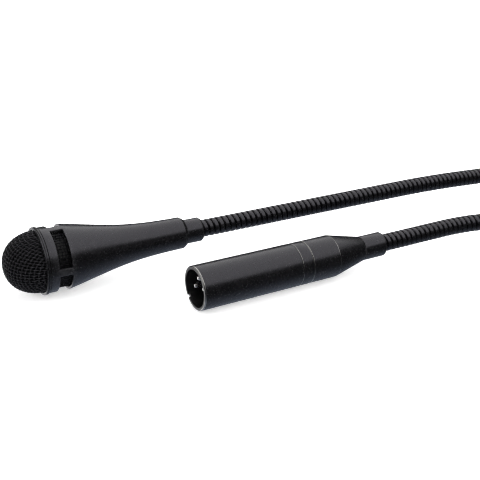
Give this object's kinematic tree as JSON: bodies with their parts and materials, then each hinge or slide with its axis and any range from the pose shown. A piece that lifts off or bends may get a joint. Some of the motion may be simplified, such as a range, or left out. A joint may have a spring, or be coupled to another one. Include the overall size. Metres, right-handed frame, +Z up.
{
  "type": "gooseneck podium microphone",
  "caption": "Podium microphone: domed wire grille on a flared metal head, a stay-put flexible neck, and a long-barrelled three-pin plug that stands in a podium socket.",
  "frame": {"origin": "centre of the contact insert's front face, inside the plug's open end", "axes": "+X along the plug's axis from the pins towards the neck; +Z up from the table it lies on; +Y from the plug towards the head lying beside it"},
  "size_m": [0.3527, 0.1077, 0.0292],
  "materials": {
    "satin_black_coat": "satin",
    "neck_black_coat": "satin",
    "mesh_black_coat": "satin",
    "black_foam": "matte",
    "black_moulding": "matte",
    "silver_plate": "polished",
    "bare_steel": "satin",
    "magnet_grey": "matte",
    "coil_copper": "satin",
    "diaphragm_film": "gloss",
    "grey_rubber": "matte",
    "brass_fitting": "satin",
    "board_green": "satin",
    "cable_jacket": "matte"
  },
  "bodies": {
    "plug": {"plug_barrel": "satin_black_coat", "plug_collar": "satin_black_coat", "plug_rear_cone": "satin_black_coat", "plug_ferrule": "satin_black_coat", "coupling_sleeve": "bare_steel", "contact_insert": "black_moulding", "pin_1": "silver_plate", "pin_2": "silver_plate", "pin_3": "silver_plate", "insert_retainer": "bare_steel", "earth_tag": "silver_plate", "cable_clamp": "black_moulding", "neck_bush_plug": "brass_fitting", "plug_conductor_1": "cable_jacket", "plug_conductor_2": "cable_jacket", "plug_conductor_3": "cable_jacket", "neck_link_01": "neck_black_coat", "cable": "cable_jacket"},
    "link_02": {"neck_link_02": "neck_black_coat"},
    "link_03": {"neck_link_03": "neck_black_coat"},
    "link_04": {"neck_link_04": "neck_black_coat"},
    "link_05": {"neck_link_05": "neck_black_coat"},
    "link_06": {"neck_link_06": "neck_black_coat"},
    "link_07": {"neck_link_07": "neck_black_coat"},
    "link_08": {"neck_link_08": "neck_black_coat"},
    "link_09": {"neck_link_09": "neck_black_coat"},
    "link_10": {"neck_link_10": "neck_black_coat"},
    "link_11": {"neck_link_11": "neck_black_coat"},
    "link_12": {"neck_link_12": "neck_black_coat"},
    "link_13": {"neck_link_13": "neck_black_coat"},
    "link_14": {"neck_link_14": "neck_black_coat"},
    "link_15": {"neck_link_15": "neck_black_coat"},
    "link_16": {"neck_link_16": "neck_black_coat"},
    "link_17": {"neck_link_17": "neck_black_coat"},
    "link_18": {"neck_link_18": "neck_black_coat"},
    "link_19": {"neck_link_19": "neck_black_coat"},
    "head": {"grille_dome": "mesh_black_coat", "front_ring": "satin_black_coat", "foam_liner": "black_foam", "head_body": "satin_black_coat", "cage_mesh": "mesh_black_coat", "capsule_cover": "bare_steel", "capsule_housing": "black_moulding", "pole_piece": "bare_steel", "magnet": "magnet_grey", "top_plate": "bare_steel", "yoke_cup": "bare_steel", "shock_mount": "grey_rubber", "terminal_board": "board_green", "head_conductor_1": "cable_jacket", "head_conductor_2": "cable_jacket", "cable_grommet": "grey_rubber", "head_ferrule": "satin_black_coat", "neck_bush_head": "brass_fitting", "neck_link_20": "neck_black_coat"},
    "diaphragm": {"diaphragm": "diaphragm_film", "voice_coil": "coil_copper"}
  },
  "joints": [
    {"name": "neck_bend_01", "type": "hinge", "parent": "plug", "child": "link_02", "pos_m": [0.1043, 0, 0], "axis": [0, -0.0044, -1], "range_deg": [-9, 32], "deforming": ["cable"]},
    {"name": "neck_bend_02", "type": "hinge", "parent": "link_02", "child": "link_03", "pos_m": [0.1374, -0.00264, -0.0002], "axis": [-0.0217, 0.0005, -0.9998], "range_deg": [-6, 20]},
    {"name": "neck_lift_1", "type": "hinge", "parent": "link_03", "child": "link_04", "pos_m": [0.15327, -0.00762, -0.00068], "axis": [0.3743, 0.9273, 0], "range_deg": [-30, 30]},
    {"name": "neck_bend_03", "type": "hinge", "parent": "link_04", "child": "link_05", "pos_m": [0.16816, -0.01504, -0.00137], "axis": [-0.0415, 0.0199, -0.9989], "range_deg": [-6, 20]},
    {"name": "neck_bend_04", "type": "hinge", "parent": "link_05", "child": "link_06", "pos_m": [0.19435, -0.03551, -0.00306], "axis": [0.046, -0.0252, 0.9986], "range_deg": [-40, 3]},
    {"name": "neck_bend_05", "type": "hinge", "parent": "link_06", "child": "link_07", "pos_m": [0.22607, -0.04318, -0.00465], "axis": [0.0398, 0.0088, 0.9992], "range_deg": [-46, 2]},
    {"name": "neck_bend_06", "type": "hinge", "parent": "link_07", "child": "link_08", "pos_m": [0.25537, -0.0288, -0.00555], "axis": [0.0042, 0.0106, 0.9999], "range_deg": [-46, 2]},
    {"name": "neck_lift_2", "type": "hinge", "parent": "link_08", "child": "link_09", "pos_m": [0.26464, -0.01507, -0.0056], "axis": [-0.9126, 0.4089, 0], "range_deg": [-30, 30]},
    {"name": "neck_bend_07", "type": "hinge", "parent": "link_09", "child": "link_10", "pos_m": [0.2687, 0.00099, -0.00552], "axis": [-0.0056, -0.0162, 0.9999], "range_deg": [-46, 2]},
    {"name": "neck_bend_08", "type": "hinge", "parent": "link_10", "child": "link_11", "pos_m": [0.2599, 0.03242, -0.0042], "axis": [0.0308, -0.0508, 0.9982], "range_deg": [-46, 2]},
    {"name": "neck_bend_09", "type": "hinge", "parent": "link_11", "child": "link_12", "pos_m": [0.23303, 0.05095, -0.0018], "axis": [0.0772, -0.0248, 0.9967], "range_deg": [-46, 2]},
    {"name": "neck_bend_10", "type": "hinge", "parent": "link_12", "child": "link_13", "pos_m": [0.20053, 0.04802, 0.00098], "axis": [0.0763, 0.0308, 0.9966], "range_deg": [-28, 4]},
    {"name": "neck_lift_3", "type": "hinge", "parent": "link_13", "child": "link_14", "pos_m": [0.18511, 0.04185, 0.0023], "axis": [0.2497, -0.9683, 0], "range_deg": [-30, 30]},
    {"name": "neck_bend_11", "type": "hinge", "parent": "link_14", "child": "link_15", "pos_m": [0.16862, 0.03989, 0.00346], "axis": [-0.0627, 0.0054, -0.998], "range_deg": [-6, 10]},
    {"name": "neck_bend_12", "type": "hinge", "parent": "link_15", "child": "link_16", "pos_m": [0.13533, 0.04076, 0.00494], "axis": [-0.0224, 0.005, -0.9997], "range_deg": [-8, 36]},
    {"name": "neck_bend_13", "type": "hinge", "parent": "link_16", "child": "link_17", "pos_m": [0.10204, 0.04163, 0.0051], "axis": [0.0001, 0.0044, -1], "range_deg": [-10, 36]},
    {"name": "neck_lift_4", "type": "hinge", "parent": "link_17", "child": "link_18", "pos_m": [0.0854, 0.04207, 0.0051], "axis": [-0.0261, -0.9997, 0], "range_deg": [-30, 30]},
    {"name": "neck_bend_14", "type": "hinge", "parent": "link_18", "child": "link_19", "pos_m": [0.06875, 0.04251, 0.0051], "axis": [0.0001, 0.0044, -1], "range_deg": [-14, 36]},
    {"name": "neck_bend_15", "type": "hinge", "parent": "link_19", "child": "head", "pos_m": [0.03546, 0.04338, 0.0051], "axis": [0.0001, 0.0044, -1], "range_deg": [-20, 36]},
    {"name": "diaphragm_travel", "type": "slide", "parent": "head", "child": "diaphragm", "axis": [0.9997, -0.0262, 0], "range_m": [-0.0003, 0.0003], "stiffness_N_per_m": 60}
  ]
}
